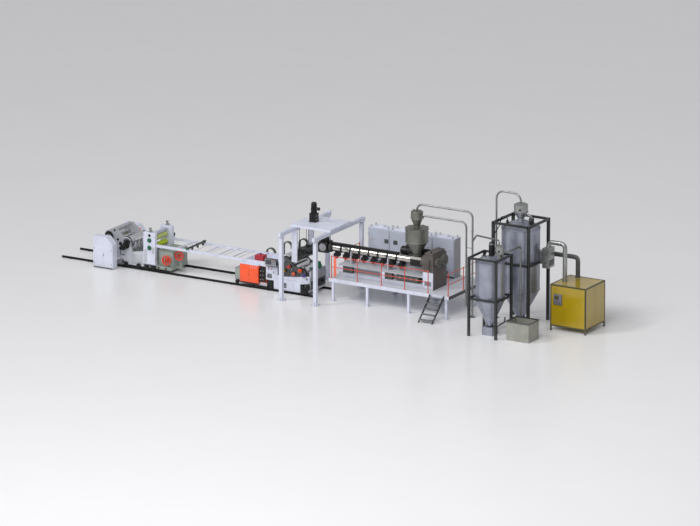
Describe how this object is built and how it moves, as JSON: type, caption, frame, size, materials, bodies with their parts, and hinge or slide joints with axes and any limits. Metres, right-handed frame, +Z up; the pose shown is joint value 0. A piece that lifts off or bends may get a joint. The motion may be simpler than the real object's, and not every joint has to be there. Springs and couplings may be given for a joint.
{
  "type": "film extrusion line",
  "caption": "Film extrusion line on floor rails: winder, haul-off, roller table and calender, die gantry, extruder on its platform, silos, dryer and conveying pipes.",
  "frame": {"origin": "middle of the line's footprint, on the floor", "axes": "+X along the line from the winder to the dryer, +Y from the operator's side to the back, +Z up"},
  "size_m": [28.1, 5.46, 6.165],
  "materials": {
    "white_paint": "satin",
    "cabinet_paint": "satin",
    "grey_paint": "satin",
    "dark_paint": "satin",
    "black_paint": "satin",
    "orange_paint": "satin",
    "red_paint": "satin",
    "yellow_paint": "satin",
    "stainless": "satin",
    "tool_steel": "satin",
    "chrome": "polished",
    "roll_rubber": "satin"
  },
  "bodies": {
    "plant": {"barrel": "stainless", "conveying_pipes": "stainless", "die": "tool_steel", "die_trolley": "white_paint", "dryer_ducts": "stainless", "dryer_frame": "dark_paint", "dryer_housing": "yellow_paint", "electric_cabinets": "cabinet_paint", "extruder_base": "grey_paint", "feed_hopper": "stainless", "floor_rails": "black_paint", "gantry_beams": "white_paint", "gantry_posts": "white_paint", "gearbox": "dark_paint", "handrails": "red_paint", "heating_zones": "black_paint", "hoist_motor": "black_paint", "hopper_loader": "stainless", "ladder": "dark_paint", "large_silo_cone": "stainless", "large_silo_roof": "stainless", "large_silo_shell": "stainless", "main_motor": "black_paint", "material_bin": "stainless", "melt_pump": "black_paint", "platform_deck": "white_paint", "platform_legs": "white_paint", "silo_frames": "dark_paint", "silo_loaders": "stainless", "silo_outlets": "stainless", "small_silo_cone": "stainless", "small_silo_roof": "stainless", "small_silo_shell": "stainless"},
    "line_carriage": {"winder_cabinets": "white_paint", "winder_base": "grey_paint", "winder_arms": "grey_paint", "winder_motor": "black_paint", "haul_off_columns": "white_paint", "haul_off_base": "grey_paint", "trim_reels": "red_paint", "roller_table": "white_paint", "edge_slitter": "dark_paint", "calender_bearing_stands": "grey_paint", "calender_side_covers": "white_paint", "calender_base": "grey_paint", "orange_cabinet": "orange_paint", "control_boxes": "grey_paint", "roll_drives": "black_paint", "carriage_wheels": "black_paint"},
    "winding_drum": {"winding_drum": "chrome"},
    "film_spool": {"film_spool": "chrome"},
    "haul_off_upper_roll": {"haul_off_upper_roll": "roll_rubber"},
    "haul_off_lower_roll": {"haul_off_lower_roll": "roll_rubber"},
    "calender_roll_top": {"calender_roll_top": "chrome"},
    "calender_roll_middle": {"calender_roll_middle": "chrome"},
    "calender_roll_bottom": {"calender_roll_bottom": "chrome"},
    "cabinet_door_1": {"cabinet_door_1": "cabinet_paint"},
    "cabinet_door_2": {"cabinet_door_2": "cabinet_paint"},
    "cabinet_door_3": {"cabinet_door_3": "cabinet_paint"},
    "cabinet_door_4": {"cabinet_door_4": "cabinet_paint"}
  },
  "joints": [
    {"name": "line_travel", "type": "slide", "parent": "plant", "child": "line_carriage", "axis": [1, 0, 0], "range_m": [-0.8, 0]},
    {"name": "winding_drum_turn", "type": "hinge", "parent": "line_carriage", "child": "winding_drum", "pos_m": [-11.42, 0.11, 1.4], "axis": [0, 1, 0], "continuous": true},
    {"name": "film_spool_turn", "type": "hinge", "parent": "line_carriage", "child": "film_spool", "pos_m": [-10.42, 0.11, 1.27], "axis": [0, 1, 0], "continuous": true},
    {"name": "haul_off_upper_roll_turn", "type": "hinge", "parent": "line_carriage", "child": "haul_off_upper_roll", "pos_m": [-9.1, 0.11, 1.52], "axis": [0, 1, 0], "continuous": true},
    {"name": "haul_off_lower_roll_turn", "type": "hinge", "parent": "line_carriage", "child": "haul_off_lower_roll", "pos_m": [-9.1, 0.11, 1.15], "axis": [0, 1, 0], "continuous": true},
    {"name": "calender_roll_top_turn", "type": "hinge", "parent": "line_carriage", "child": "calender_roll_top", "pos_m": [-1.69, 0.11, 1.55], "axis": [0, 1, 0], "continuous": true},
    {"name": "calender_roll_middle_turn", "type": "hinge", "parent": "line_carriage", "child": "calender_roll_middle", "pos_m": [-1.32, 0.11, 1.17], "axis": [0, 1, 0], "continuous": true},
    {"name": "calender_roll_bottom_turn", "type": "hinge", "parent": "line_carriage", "child": "calender_roll_bottom", "pos_m": [-0.79, 0.11, 1.06], "axis": [0, 1, 0], "continuous": true},
    {"name": "cabinet_door_1_hinge", "type": "hinge", "parent": "plant", "child": "cabinet_door_1", "pos_m": [1.331, 1.974, 2.1], "axis": [0, 0, -1], "range_deg": [0, 100]},
    {"name": "cabinet_door_2_hinge", "type": "hinge", "parent": "plant", "child": "cabinet_door_2", "pos_m": [2.4935, 1.974, 2.1], "axis": [0, 0, -1], "range_deg": [0, 100]},
    {"name": "cabinet_door_3_hinge", "type": "hinge", "parent": "plant", "child": "cabinet_door_3", "pos_m": [3.656, 1.974, 2.1], "axis": [0, 0, -1], "range_deg": [0, 100]},
    {"name": "cabinet_door_4_hinge", "type": "hinge", "parent": "plant", "child": "cabinet_door_4", "pos_m": [4.8185, 1.974, 2.1], "axis": [0, 0, -1], "range_deg": [0, 100]}
  ]
}
